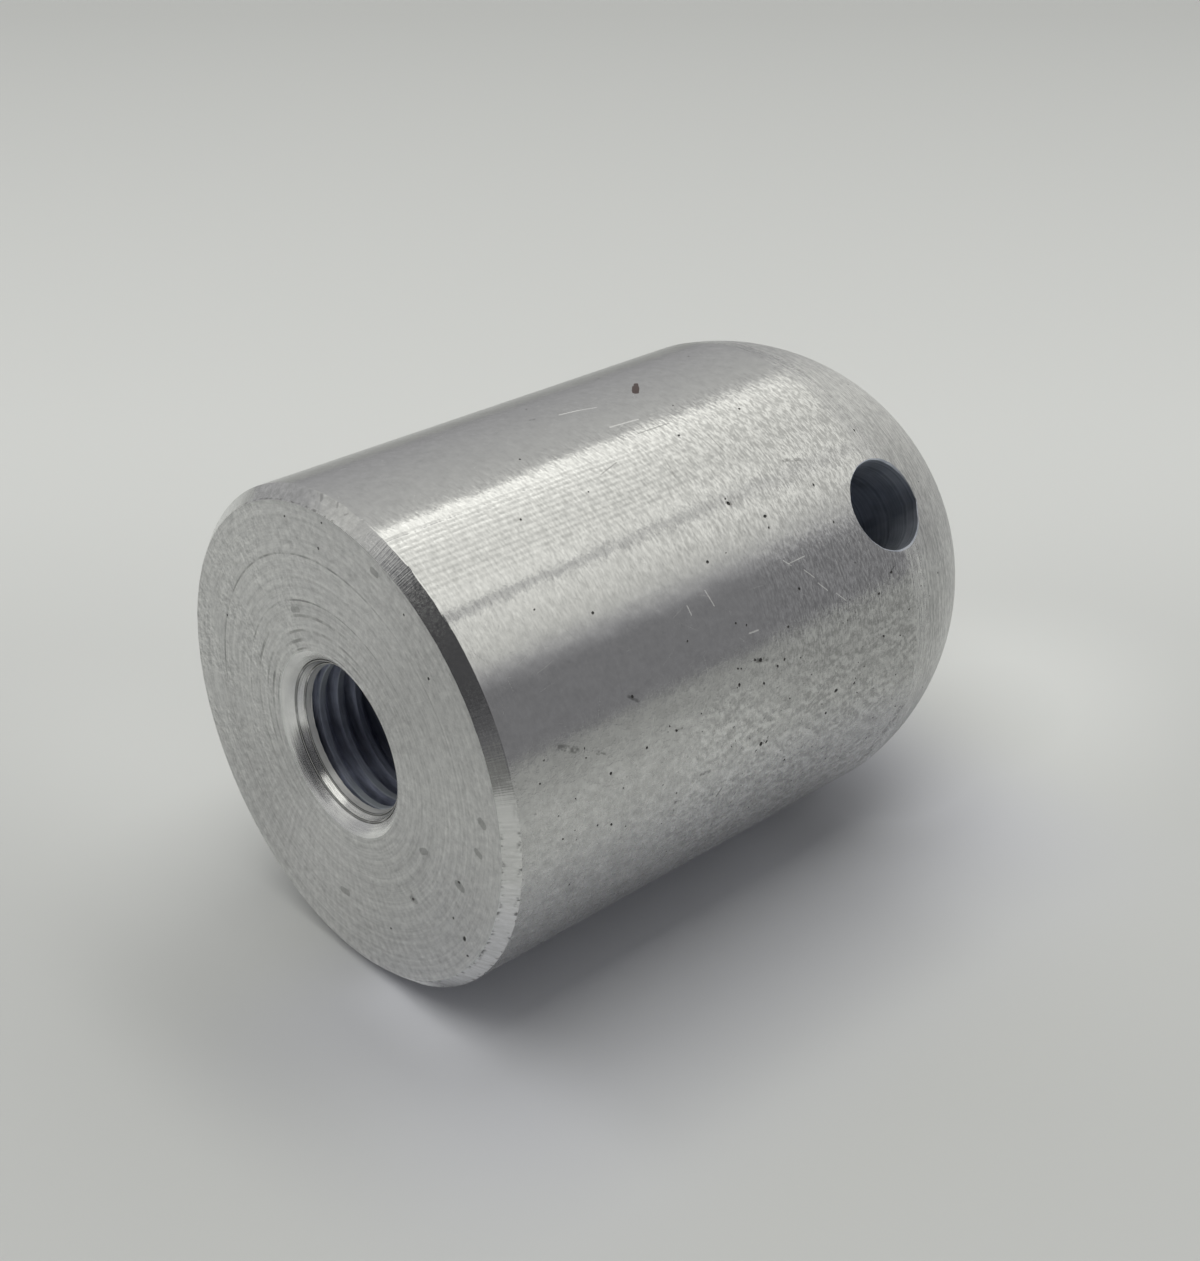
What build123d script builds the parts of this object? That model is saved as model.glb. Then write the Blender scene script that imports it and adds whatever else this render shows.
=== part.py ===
from build123d import *
import math
import os

os.makedirs("parts", exist_ok=True)

# Turned cylinder, standing on its threaded end: the flat face is at Z = 0
# and the dome points up. The cross hole runs along X.

# Turned outline
body_dia = 60.0
overall_length = 90.0       # flat face to the tip of the dome
dome_height = 26.5
face_bevel = 1.5            # 45 degree bevel round the flat face

# Threaded hole in the flat face, M20 x 2.5 coarse
thread_major_dia = 20.0
thread_pitch = 2.5
drill_point_angle = 118.0
countersink_margin = 1.0    # how far its rim stands outside the thread
countersink_angle = 90.0

# Hole drilled across the body
cross_hole_dia = 11.2
cross_hole_from_tip = 26.5  # its axis below the tip of the dome
cross_hole_edge_break = 0.2
metal_below_cross_hole = 7.6    # left between it and the tapping drill's point

# The dome is part of a sphere centred on the axis. It is a little flatter than
# a half ball, so it meets the side at a faint ridge.
body_radius = body_dia / 2
body_length = overall_length - dome_height
dome_radius = (body_radius**2 + dome_height**2) / (2 * dome_height)
dome_centre = overall_length - dome_radius
dome_foot_angle = math.degrees(math.asin((body_length - dome_centre) / dome_radius))

cross_hole_height = overall_length - cross_hole_from_tip

# The tapping drill is one pitch under the thread. Its point leaves a cone below
# the shoulder of the hole, and it stops short of the cross hole.
tap_drill_radius = (thread_major_dia - thread_pitch) / 2
countersink_radius = thread_major_dia / 2 + countersink_margin
drill_point_depth = tap_drill_radius / math.tan(math.radians(drill_point_angle / 2))
drill_tip_height = cross_hole_height - cross_hole_dia / 2 - metal_below_cross_hole
tap_drill_depth = drill_tip_height - drill_point_depth

with BuildPart() as body:
    # Half outline turned about the axis
    with BuildSketch(Plane.XZ) as half_outline:
        with BuildLine() as outline:
            foot = Line((0, 0), (body_radius, 0))
            side = Line(foot @ 1, (body_radius, body_length))
            dome = CenterArc((0, dome_centre), dome_radius, dome_foot_angle, 90 - dome_foot_angle)
            Line(dome @ 1, (0, 0))
        make_face()
    revolve(axis=Axis.Z)

    # Bevel round the flat face
    face_rim = body.edges().filter_by(GeomType.CIRCLE).sort_by(Axis.Z)[0]
    chamfer(face_rim, length=face_bevel)

    # Tapping drill with its countersink, entering from the flat face
    flat_face = body.faces().filter_by(GeomType.PLANE).sort_by(Axis.Z)[0]
    with Locations(Plane(origin=(0, 0, 0), x_dir=(1, 0, 0), z_dir=flat_face.normal_at())):
        CounterSinkHole(
            radius=tap_drill_radius,
            counter_sink_radius=countersink_radius,
            depth=tap_drill_depth,
            counter_sink_angle=countersink_angle,
        )

    # Cone left by the drill's point
    with Locations((0, 0, tap_drill_depth)):
        Cone(
            bottom_radius=tap_drill_radius,
            top_radius=0,
            height=drill_point_depth,
            align=(Align.CENTER, Align.CENTER, Align.MIN),
            mode=Mode.SUBTRACT,
        )

    # Cross hole, right through, its two mouths lightly deburred
    with Locations(Location((0, 0, cross_hole_height), (0, 90, 0))):
        Hole(radius=cross_hole_dia / 2)
    cross_wall = body.faces().filter_by(GeomType.CYLINDER).filter_by(
        lambda face: abs(face.radius - cross_hole_dia / 2) < 0.001
    )
    cross_rims = [edge for edge in cross_wall.edges() if edge.geom_type != GeomType.LINE]
    chamfer(cross_rims, length=cross_hole_edge_break)

body.part.label = "body"
export_step(body.part, "parts/body.step")
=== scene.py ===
import bpy
import bmesh
import math
import random
from mathutils import Matrix, Vector


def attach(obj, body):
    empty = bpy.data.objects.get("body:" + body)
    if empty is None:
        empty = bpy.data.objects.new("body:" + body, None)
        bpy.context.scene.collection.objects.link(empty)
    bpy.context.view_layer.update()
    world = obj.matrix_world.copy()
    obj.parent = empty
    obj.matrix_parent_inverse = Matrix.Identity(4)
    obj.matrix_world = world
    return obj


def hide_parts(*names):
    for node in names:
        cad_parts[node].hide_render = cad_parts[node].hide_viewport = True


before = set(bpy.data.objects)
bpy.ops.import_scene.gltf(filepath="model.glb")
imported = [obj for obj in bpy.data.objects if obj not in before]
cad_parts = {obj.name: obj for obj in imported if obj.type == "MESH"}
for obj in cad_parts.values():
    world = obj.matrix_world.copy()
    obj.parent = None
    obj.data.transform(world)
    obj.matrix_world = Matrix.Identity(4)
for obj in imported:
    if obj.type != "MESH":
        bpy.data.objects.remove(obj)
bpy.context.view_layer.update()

MM = 0.001

# ---------------------------------------------------------------- sizes, in mm
BODY_R = 30.0
BODY_LENGTH = 63.5              # flat face to the dome's foot
OVERALL = 90.0
DOME_HEIGHT = OVERALL - BODY_LENGTH
DOME_R = (BODY_R ** 2 + DOME_HEIGHT ** 2) / (2 * DOME_HEIGHT)
DOME_CENTRE = OVERALL - DOME_R
BEVEL = 1.5

THREAD_R = 10.0
PITCH = 2.5
DRILL_R = 8.75
DRILL_DEPTH = 45.042
DRILL_TIP = 50.3
SINK_R = 11.0                   # countersink at the flat face
THREAD_PHASE = 1.411            # height of a groove's middle at azimuth 0
THREAD_FLAT = PITCH / 8         # flat at the bottom of a groove
THREAD_START = 2.74             # the countersink leaves the wall whole above this
THREAD_END = 37.0               # where the tap's full form stops

CROSS_R = 5.6
CROSS_Z = 63.5
EDGE_BREAK = 0.22

AROUND = 512                    # steps round the outside
NOISE_STEPS = 256               # steps round the drilled hole

LOOSE_PITS = 90                 # pores beyond those that the photo shows one by one

rng = random.Random(7)


def new_object(name, data):
    obj = bpy.data.objects.new(name, data)
    bpy.context.scene.collection.objects.link(obj)
    return obj


def new_mesh_object(name, verts, faces):
    """A mesh from points in mm."""
    mesh = bpy.data.meshes.new(name)
    mesh.from_pydata([[c * MM for c in v] for v in verts], [], faces)
    mesh.update()
    return new_object(name, mesh)


def revolve(name, profile, steps, shape=None):
    """A closed solid turned about Z.

    profile runs from the axis back to the axis, and shape may move a point.
    """
    verts = [(0, 0, profile[0][1])]
    for k, (r, z) in enumerate(profile[1:-1]):
        for i in range(steps):
            t = 2 * math.pi * i / steps
            rr, zz = shape(k + 1, r, z, t) if shape else (r, z)
            verts.append((rr * math.cos(t), rr * math.sin(t), zz))
    verts.append((0, 0, profile[-1][1]))
    rows = len(profile) - 2
    faces = []
    for i in range(steps):
        j = (i + 1) % steps
        faces.append((0, 1 + j, 1 + i))
        for k in range(rows - 1):
            a, b = 1 + k * steps, 1 + (k + 1) * steps
            faces.append((a + i, a + j, b + j, b + i))
        a = 1 + (rows - 1) * steps
        faces.append((a + i, a + j, len(verts) - 1))
    return new_mesh_object(name, verts, faces)


def fix_normals(obj):
    bm = bmesh.new()
    bm.from_mesh(obj.data)
    bmesh.ops.recalc_face_normals(bm, faces=bm.faces)
    bm.to_mesh(obj.data)
    bm.free()


def apply_boolean(target, other, operation):
    cut = target.modifiers.new("cut", "BOOLEAN")
    cut.operation = operation
    cut.solver = "MANIFOLD"
    cut.object = other
    bpy.context.view_layer.objects.active = target
    bpy.ops.object.modifier_apply(modifier=cut.name)
    bpy.data.objects.remove(other)


# ------------------------------------------------------------- outside surface
RAGGED_AT = 72                  # azimuth where the bevel's outer edge is roughest


def rim_wobble(k, r, z, t):
    """Small burrs left along the two edges of the bevel."""
    if k in RIM_ROWS:
        n = RIM_NOISE[k][int(t / (2 * math.pi) * AROUND + 0.5) % AROUND]
        if k == RIM_ROWS[1]:
            away = abs((math.degrees(t) - RAGGED_AT + 180) % 360 - 180)
            n *= 1 + 2.2 * max(0.0, 1 - away / 50)
        return r - 0.6 * abs(n), z + n
    return r, z


def smooth_noise(count, span, size, seed):
    """Closed ring of noise: random values every span steps, joined smoothly."""
    source = random.Random(seed)
    knots = count // span
    values = [source.uniform(-1, 1) * size for _ in range(knots)]
    ring = []
    for i in range(count):
        x = i / span
        k = int(x) % knots
        f = x - int(x)
        f = f * f * (3 - 2 * f)
        ring.append(values[k] * (1 - f) + values[(k + 1) % knots] * f)
    return ring


def outer_profile():
    profile = [(0, 0)]
    for r in (14, 20, 25, 27.6):
        profile.append((r, 0.0))
    e = 0.06                    # softened edges of the bevel
    profile.append((BODY_R - BEVEL - e, 0.0))
    rows = [len(profile)]
    profile.append((BODY_R - BEVEL + 0.7 * e, 0.7 * e))
    profile.append((BODY_R - 0.5 * BEVEL, 0.5 * BEVEL))
    rows.append(len(profile))
    profile.append((BODY_R - 0.7 * e, BEVEL - 0.7 * e))
    profile.append((BODY_R, BEVEL + e))
    z = 3.0
    while z < BODY_LENGTH - 2:
        profile.append((BODY_R, z))
        z += 2.0
    profile.append((BODY_R, BODY_LENGTH - 1.2))
    profile.append((BODY_R, BODY_LENGTH - 0.6))
    foot = math.asin((BODY_LENGTH - DOME_CENTRE) / DOME_R)
    steps = 44
    for i in range(steps):
        p = foot + (math.pi / 2 - foot) * i / steps
        profile.append((DOME_R * math.cos(p), DOME_CENTRE + DOME_R * math.sin(p)))
    profile.append((0, OVERALL))
    return profile, rows


profile, RIM_ROWS = outer_profile()
RIM_NOISE = {
    RIM_ROWS[0]: smooth_noise(AROUND, 2, 0.02, 3),
    RIM_ROWS[1]: smooth_noise(AROUND, 2, 0.035, 4),
}
metal = revolve("turned_body", profile, AROUND, rim_wobble)
fix_normals(metal)


# --------------------------------------------------------------------- cutters
def drill_cutter():
    """Tapping drill with its point, and the countersink with its tool marks."""
    rim = SINK_R + 2.0
    profile = [
        (0, -2.0), (rim, -2.0), (SINK_R + 0.15, 0.0), (10.60, 0.30), (10.05, 0.86), (9.76, 1.22),
        (9.74, 1.12), (9.60, 1.16), (9.52, 1.36), (9.12, 2.00), (9.10, 1.92), (8.99, 1.96),
        (8.95, 2.14), (DRILL_R, 2.80), (DRILL_R, DRILL_DEPTH), (0, DRILL_TIP),
    ]
    return revolve("cut_drill", profile, NOISE_STEPS)


def screw_cutter():
    """A rod with the tap's thread on it, tapering to nothing at both ends."""
    steps = 180
    base = DRILL_R - 0.06           # the rod's foot, out of sight inside the drilled hole
    first = -3                      # starts below the face
    last = int((THREAD_END - THREAD_PHASE) / PITCH) + 2
    verts = []
    columns = []
    for i in range(steps):
        t = 2 * math.pi * i / steps
        column = []
        for k in range(first, last):
            zc = THREAD_PHASE + PITCH * (k + i / steps)
            # Full height soon after the start, fading out past the tap's full form
            taper_in = min(1.0, max(0.0, (zc - 0.4) / 0.6))
            taper_out = min(1.0, max(0.0, (THREAD_END + 3.0 - zc) / 4.0))
            top = base + 0.02 + (THREAD_R - base - 0.02) * min(taper_in, taper_out)
            half = THREAD_FLAT / 2 * min(1.0, (top - base) / 0.3)
            foot = half + (top - base) * math.tan(math.radians(30))
            for r, dz in ((base, -foot), (top, -half), (top, half), (base, foot)):
                column.append(len(verts))
                verts.append((r * math.cos(t), r * math.sin(t), zc + dz))
        columns.append(column)
    rows = len(columns[0])
    faces = []
    for i in range(steps - 1):
        a, b = columns[i], columns[i + 1]
        for m in range(rows - 1):
            faces.append((a[m], b[m], b[m + 1], a[m + 1]))
    a, b = columns[-1], columns[0]
    for m in range(rows - 5):
        faces.append((a[m], b[m + 4], b[m + 5], a[m + 1]))
    # The last column's top rows and the first column's bottom rows meet the end caps
    low = [c[0] for c in columns] + [columns[0][m] for m in (4, 3, 2, 1)]
    high = [c[-1] for c in columns] + [columns[-1][m] for m in (-2, -3, -4, -5)]
    low_z = min(verts[v][2] for v in low) - 1.0
    high_z = max(verts[v][2] for v in high) + 0.2
    low_centre = len(verts)
    verts.append((0, 0, low_z))
    high_centre = len(verts)
    verts.append((0, 0, high_z))
    for m in range(len(low)):
        faces.append((low_centre, low[(m + 1) % len(low)], low[m]))
    for m in range(len(high)):
        faces.append((high_centre, high[m], high[(m + 1) % len(high)]))
    thread = new_mesh_object("cut_thread", verts, faces)
    start_noise = smooth_noise(NOISE_STEPS, 2, 0.03, 9)

    def ragged_start(k, r, z, t):
        step = int(round(t * NOISE_STEPS / (2 * math.pi))) % NOISE_STEPS
        return (r, z + start_noise[step]) if k == 1 else (r, z)

    # Only what lies above the countersink is cut
    wide, above = THREAD_R + 1, 60.0
    sleeve = [(0, THREAD_START), (wide, THREAD_START), (wide, above), (0, above)]
    below = revolve("thread_length", sleeve, NOISE_STEPS, ragged_start)
    fix_normals(thread)
    fix_normals(below)
    apply_boolean(thread, below, "INTERSECT")
    return thread


def exit_x(y, z):
    """How far out the body's outside lies along X above the point (y, z)."""
    if z > BODY_LENGTH:
        return math.sqrt(DOME_R ** 2 - (z - DOME_CENTRE) ** 2 - y * y)
    return math.sqrt(BODY_R ** 2 - y * y)


def cross_cutter():
    """Drill across the body, flared a little where it leaves the surface."""
    steps = 160
    rings = []
    for side in (-1, 1):
        inner, outer = [], []
        ragged = smooth_noise(steps, 4, 1.0, 11 + side)
        uneven = smooth_noise(steps, 20, 1.0, 21 + side)
        for i in range(steps):
            t = 2 * math.pi * i / steps
            y, z = math.cos(t), math.sin(t)
            r = CROSS_R + 0.03 * ragged[i]
            if side > 0:            # a torn spot on the rim towards the tip, and a burr beside it
                r += 0.16 * math.exp(-((math.degrees(t) - 80) / 4) ** 2)
                r -= 0.14 * math.exp(-((math.degrees(t) - 62) / 7) ** 2)
            depth = EDGE_BREAK * (0.75 + 0.35 * uneven[i])
            edge = exit_x(r * y, CROSS_Z + r * z)
            inner.append((side * (edge - depth), r * y, CROSS_Z + r * z))
            r = r + EDGE_BREAK + 1.0
            edge = exit_x(r * y, CROSS_Z + r * z)
            outer.append((side * (edge + 1.0), r * y, CROSS_Z + r * z))
        rings.append((inner, outer))
    spread = []
    for f in (0.6, 0.0, -0.6):
        spread.append([(f * BODY_R * -1.0, p[1], p[2]) for p in rings[0][0]])
    ordered = [rings[0][1], rings[0][0]] + spread + [rings[1][0], rings[1][1]]
    verts = [p for ring in ordered for p in ring]
    faces = []
    for k in range(len(ordered) - 1):
        for i in range(steps):
            j = (i + 1) % steps
            faces.append((k * steps + i, k * steps + j, (k + 1) * steps + j, (k + 1) * steps + i))
    for ring, x in ((0, -BODY_R - 3), (len(ordered) - 1, BODY_R + 3)):
        centre = len(verts)
        verts.append((x, 0, CROSS_Z))
        for i in range(steps):
            faces.append((centre, ring * steps + i, ring * steps + (i + 1) % steps))
    return new_mesh_object("cut_cross", verts, faces)


def pit_cutter():
    """Pores and small dents: flat ellipsoids centred on the surface, joined in one mesh."""
    spots = [(*spot, "side") for spot in (*SIDE_PITS, *scattered_pits())]
    spots += [(*spot, "face") for spot in FACE_PITS]
    verts, faces = [], []
    for az, z, r, where in spots:
        if where == "face":
            normal = Vector((0, 0, -1))
            middle = Vector((az, z, 0))
        else:
            t = math.radians(az)
            if z < BODY_LENGTH:
                normal = Vector((math.cos(t), math.sin(t), 0))
                middle = normal * BODY_R + Vector((0, 0, z))
            else:
                up = (z - DOME_CENTRE) / DOME_R
                flat = math.sqrt(1 - up * up)
                normal = Vector((flat * math.cos(t), flat * math.sin(t), up))
                middle = normal * DOME_R + Vector((0, 0, DOME_CENTRE))
        turn = normal.to_track_quat("Z", "Y").to_matrix()
        stretch = rng.uniform(0.75, 1.3)
        spin = rng.uniform(0, math.pi)
        start = len(verts)
        around, rows = 12, 5
        verts.append(middle + turn @ Vector((0, 0, r)))
        for k in range(1, rows + 1):
            p = math.pi * k / (rows + 1)
            wide = r * math.sin(p)
            for i in range(around):
                q = 2 * math.pi * i / around
                a, b = wide * stretch * math.cos(q), wide / stretch * math.sin(q)
                c, d = math.cos(spin), math.sin(spin)
                verts.append(middle + turn @ Vector((a * c - b * d, a * d + b * c, 0.8 * r * math.cos(p))))
        verts.append(middle + turn @ Vector((0, 0, -0.8 * r)))
        last = len(verts) - 1
        for i in range(around):
            j = (i + 1) % around
            faces.append((start, start + 1 + i, start + 1 + j))
            for k in range(rows - 1):
                a, b = start + 1 + k * around, start + 1 + (k + 1) * around
                faces.append((a + i, b + i, b + j, a + j))
            a = start + 1 + (rows - 1) * around
            faces.append((a + i, last, a + j))
    return new_mesh_object("cut_pits", [tuple(v) for v in verts], faces)


# Azimuth in degrees, height in mm and radius in mm of each pore that shows
SIDE_PITS = (
    (-33.7, 42.4, 0.17), (-34.7, 52.7, 0.17), (-62.9, 32.5, 0.13), (-43.4, 23.0, 0.14),
    (-28.0, 16.6, 0.15), (-13.9, 41.5, 0.24), (-15.1, 41.5, 0.13), (-8.2, 45.2, 0.22),
    (-5.6, 44.9, 0.14), (-61.1, 57.7, 0.13), (-4.1, 34.7, 0.20), (-3.9, 17.8, 0.18),
    (10.1, 35.2, 0.14), (9.2, 28.0, 0.13), (19.8, 37.4, 0.26), (19.2, 36.6, 0.16),
    (22.8, 39.8, 0.17), (22.1, 41.0, 0.17), (25.1, 37.4, 0.17), (22.8, 33.7, 0.20),
    (19.3, 33.9, 0.14), (15.7, 42.5, 0.16), (35.5, 49.1, 0.25), (40.2, 47.6, 0.18),
    (36.0, 52.3, 0.16), (28.0, 57.5, 0.16), (39.3, 36.7, 0.28), (39.5, 37.6, 0.18),
    (47.9, 41.4, 0.16), (25.9, 23.8, 0.16), (26.4, 19.4, 0.17), (28.0, 14.1, 0.19),
    (39.9, 13.9, 0.18), (-18.7, 64.9, 0.17), (-10.4, 54.1, 0.17), (-1.1, 54.2, 0.14),
    (17.9, 57.6, 0.17), (14.6, 60.3, 0.18), (9.1, 45.6, 0.18), (14.8, 18.8, 0.20),
)
# Place across the flat face and radius, in mm
FACE_PITS = (
    (8.9, 24.5, 0.30), (8.5, 22.0, 0.16), (14.0, -19.9, 0.17), (24.0, -2.6, 0.18),
    (10.1, -24.8, 0.14), (16.8, -22.0, 0.14), (8.0, 26.4, 0.17), (24.6, -9.5, 0.15),
    (-12.0, -19.0, 0.15), (-6.0, 21.5, 0.16), (12.8, 18.4, 0.20), (1.8, 18.9, 0.2),
)


def scattered_pits():
    """More pores of the same kind, half of them low on the camera's side, the rest all round."""
    spots = []
    while len(spots) < LOOSE_PITS:
        az = rng.choice((rng.uniform(15, 60), rng.uniform(-180, 180)))
        z = rng.uniform(4, 74)
        near_hole = math.hypot(BODY_R * math.sin(math.radians(az)), z - CROSS_Z) < CROSS_R + 2.4
        on_edge = abs(z - BODY_LENGTH) < 0.6
        if near_hole or on_edge:
            continue
        spots.append((az, z, rng.uniform(0.07, 0.13)))
    return spots


for cutter in (pit_cutter(), drill_cutter(), screw_cutter(), cross_cutter()):
    fix_normals(cutter)
    apply_boolean(metal, cutter, "DIFFERENCE")

bm = bmesh.new()
bm.from_mesh(metal.data)
bmesh.ops.remove_doubles(bm, verts=bm.verts, dist=2e-7)
bmesh.ops.dissolve_degenerate(bm, edges=bm.edges, dist=1e-7)
open_edges = [e for e in bm.edges if len(e.link_faces) != 2]
print("MESH", len(bm.verts), len(bm.faces), "open edges", len(open_edges))
bm.to_mesh(metal.data)
bm.free()

# ------------------------------------------------ which surface each face is on
FACE, BEVEL_BAND, SIDE, DOME, BORE, SINK, CROSS, PIT = range(8)


def region_of(centre, normal):
    x, y, z = (c / MM for c in centre)
    r = math.hypot(x, y)
    across = math.hypot(y, z - CROSS_Z)
    sunk = 0.006
    if r > SINK_R + 0.5 and r < BODY_R - BEVEL - 0.5 and sunk < z < 1:
        return PIT
    if across > CROSS_R + 1.6 and z > BEVEL + 0.5:
        if z < BODY_LENGTH and BODY_R - 0.6 < r < BODY_R - sunk:
            return PIT
        out = math.hypot(r, z - DOME_CENTRE)
        if z > BODY_LENGTH and DOME_R - 0.6 < out < DOME_R - 2 * sunk:
            return PIT
    if z < 0.03 and r > SINK_R - 0.4:
        return FACE
    if r > BODY_R - BEVEL - 0.3 and z < BEVEL + 0.04:
        return BEVEL_BAND
    if r < 12 and z < THREAD_START - 0.04:
        return SINK
    if r < 12 and z < DRILL_TIP + 0.1:
        return BORE
    if across < CROSS_R + 0.6 and abs(normal.x) < 0.93:
        return CROSS
    if z < BODY_LENGTH:
        return SIDE
    return DOME


mesh = metal.data
mesh.materials.clear()
for p in mesh.polygons:
    p.use_smooth = True
    p.material_index = region_of(p.center, p.normal)
mesh.set_sharp_from_angle(angle=math.radians(24))


def on_cross_wall(polygon, point):
    """Whether a corner lies on the straight wall of the cross hole, and not on its broken edge."""
    off_wall = abs(math.hypot(point.y, point.z - CROSS_Z) - CROSS_R)
    return polygon.material_index == CROSS and off_wall < 0.004 and abs(polygon.normal.x) < 0.3


# The outside and the walls of the holes take the normal of the true surface
FOOT_LOW, FOOT_HIGH = BODY_LENGTH - 1.2, BODY_LENGTH + 1.1
normals = [Vector(n.vector) for n in mesh.corner_normals]
for p in mesh.polygons:
    for c in p.loop_indices:
        v = mesh.vertices[mesh.loops[c].vertex_index].co / MM
        if p.material_index in (SIDE, DOME) and FOOT_LOW <= v.z <= FOOT_HIGH:
            # The foot of the dome is blended into the side
            share = (v.z - FOOT_LOW) / (FOOT_HIGH - FOOT_LOW)
            lean = share * math.asin((FOOT_HIGH - DOME_CENTRE) / DOME_R)
            out = Vector((v.x, v.y, 0)).normalized()
            n = out * math.cos(lean) + Vector((0, 0, math.sin(lean)))
        elif p.material_index == FACE:
            n = Vector((0, 0, -1))
        elif p.material_index == SIDE:
            n = Vector((v.x, v.y, 0))
        elif p.material_index == DOME:
            n = Vector((v.x, v.y, v.z - DOME_CENTRE))
        elif p.material_index == BEVEL_BAND and abs(p.normal.z + math.sqrt(0.5)) < 0.16:
            flat = Vector((v.x, v.y, 0)).normalized()
            n = flat + Vector((0, 0, -1)) + 0.35 * (p.normal - (flat + Vector((0, 0, -1))).normalized())
        elif on_cross_wall(p, v):
            n = Vector((0, -v.y, CROSS_Z - v.z))
        else:
            continue
        normals[c] = n.normalized()
mesh.normals_split_custom_set([tuple(n) for n in normals])


# ------------------------------------------------------------------- materials
class Nodes:
    """Short hands for building a node tree."""

    def __init__(self, tree):
        self.tree = tree
        tree.nodes.clear()

    def put(self, kind, **settings):
        node = self.tree.nodes.new(kind)
        for key, value in settings.items():
            setattr(node, key, value)
        return node

    def link(self, source, target):
        if hasattr(source, "type") and hasattr(source, "links"):
            self.tree.links.new(source, target)
        else:
            target.default_value = source

    def math(self, operation, a, b=0.0, c=0.0, clamp=False):
        node = self.put("ShaderNodeMath", operation=operation, use_clamp=clamp)
        for socket, value in zip(node.inputs, (a, b, c)):
            self.link(value, socket)
        return node.outputs[0]

    def times(self, a, b):
        return self.math("MULTIPLY", a, b)

    def minus(self, a, b):
        return self.math("SUBTRACT", a, b)

    def add(self, *values):
        total = values[0]
        for value in values[1:]:
            total = self.math("ADD", total, value)
        return total

    def most(self, *values):
        total = values[0]
        for value in values[1:]:
            total = self.math("MAXIMUM", total, value)
        return total

    def vector(self, operation, a, b=None, scale=None):
        node = self.put("ShaderNodeVectorMath", operation=operation)
        self.link(a, node.inputs[0])
        if b is not None:
            self.link(b, node.inputs[1])
        if scale is not None:
            self.link(scale, node.inputs["Scale"])
        return node.outputs["Value"] if operation in ("DOT_PRODUCT", "LENGTH") else node.outputs[0]

    def combine(self, x, y, z):
        node = self.put("ShaderNodeCombineXYZ")
        for socket, value in zip(node.inputs, (x, y, z)):
            self.link(value, socket)
        return node.outputs[0]

    def separate(self, v):
        node = self.put("ShaderNodeSeparateXYZ")
        self.link(v, node.inputs[0])
        return node.outputs

    def noise(self, vector, scale, detail=2.0, rough=0.5):
        node = self.put("ShaderNodeTexNoise")
        self.link(vector, node.inputs["Vector"])
        node.inputs["Scale"].default_value = scale
        node.inputs["Detail"].default_value = detail
        node.inputs["Roughness"].default_value = rough
        return node.outputs[0]

    def ramp(self, value, low, high, to_low=0.0, to_high=1.0, smooth=True):
        node = self.put("ShaderNodeMapRange", interpolation_type="SMOOTHSTEP" if smooth else "LINEAR")
        names = ("Value", "From Min", "From Max", "To Min", "To Max")
        for name, v in zip(names, (value, low, high, to_low, to_high)):
            self.link(v, node.inputs[name])
        return node.outputs[0]

    def mix(self, factor, a, b, kind="RGBA", first=6, result=2):
        """Two colours mixed. first and result are this kind's sockets on the node."""
        node = self.put("ShaderNodeMix", data_type=kind)
        for k, value in ((0, factor), (first, a), (first + 1, b)):
            self.link(value, node.inputs[k])
        return node.outputs[result]

    def blend(self, factor, a, b):
        """Two numbers mixed."""
        return self.mix(factor, a, b, "FLOAT", 2, 0)

    def mix_shader(self, factor, a, b):
        node = self.put("ShaderNodeMixShader")
        for socket, source in zip(node.inputs, (factor, a, b)):
            self.link(source, socket)
        return node.outputs[0]

    def output(self, surface, kind="ShaderNodeOutputMaterial"):
        self.link(surface, self.put(kind).inputs[0])


def capsule_group():
    """Mask of a short line from A to B, 1 along its middle."""
    tree = bpy.data.node_groups.new("mark", "ShaderNodeTree")
    for name in ("Point", "A", "B"):
        tree.interface.new_socket(name, in_out="INPUT", socket_type="NodeSocketVector")
    tree.interface.new_socket("Width", in_out="INPUT", socket_type="NodeSocketFloat")
    tree.interface.new_socket("Mask", in_out="OUTPUT", socket_type="NodeSocketFloat")
    n = Nodes(tree)
    given = n.put("NodeGroupInput").outputs
    result = n.put("NodeGroupOutput").inputs
    to_point = n.vector("SUBTRACT", given["Point"], given["A"])
    to_end = n.vector("SUBTRACT", given["B"], given["A"])
    length_squared = n.vector("DOT_PRODUCT", to_end, to_end)
    share = n.math("DIVIDE", n.vector("DOT_PRODUCT", to_point, to_end), length_squared, clamp=True)
    gap = n.vector("LENGTH", n.vector("SUBTRACT", to_point, n.vector("SCALE", to_end, scale=share)))
    half = n.times(given["Width"], 0.5)
    n.link(n.ramp(gap, n.times(half, 0.35), half, 1.0, 0.0), result[0])
    return tree


MARK = capsule_group()


def marks(n, point, lines):
    """The strongest of several line masks. Each line is (u1, v1, u2, v2, width) in mm."""
    masks = []
    for u1, v1, u2, v2, width in lines:
        node = n.put("ShaderNodeGroup", node_tree=MARK)
        n.link(point, node.inputs["Point"])
        node.inputs["A"].default_value = (u1, v1, 0)
        node.inputs["B"].default_value = (u2, v2, 0)
        node.inputs["Width"].default_value = width
        masks.append(node.outputs[0])
    return n.most(*masks)


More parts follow.
